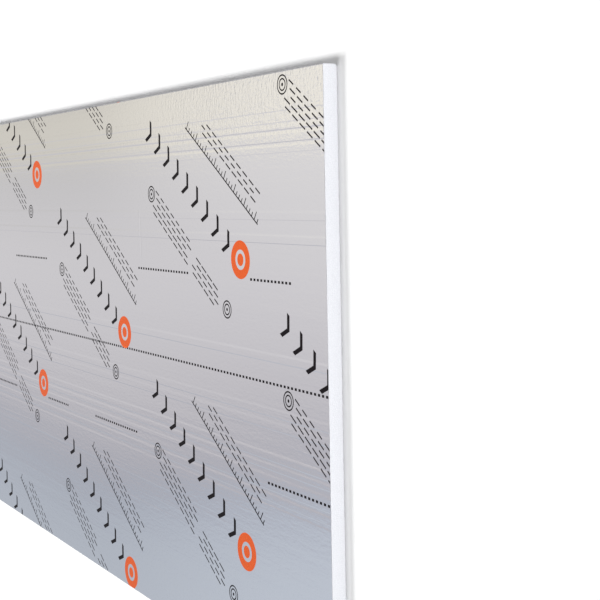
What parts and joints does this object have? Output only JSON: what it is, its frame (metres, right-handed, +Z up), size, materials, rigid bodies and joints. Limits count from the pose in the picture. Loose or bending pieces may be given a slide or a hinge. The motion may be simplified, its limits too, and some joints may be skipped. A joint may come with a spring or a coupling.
{
  "type": "film-faced expanded polystyrene insulation board",
  "caption": "Rigid expanded polystyrene foam board with square edges, rounded a little along the back, and a reflective printed film bonded to one face, used as thermal insulation on walls, floors and slabs.",
  "frame": {"origin": "middle of the bare underside of the board, lying flat with its film side up", "axes": "+X along the length, towards the end that the picture shows; +Y across the width, towards the edge that the picture shows on top; +Z up, out of the film"},
  "size_m": [2.4384, 1.2192, 0.0304],
  "materials": {
    "foam": "matt white foam with fused beads a few millimetres across",
    "film": "satin metallised plastic film, printed in dark grey and orange"
  },
  "bodies": {
    "root": {"foam_core": "foam", "facing_film": "film"}
  },
  "joints": []
}
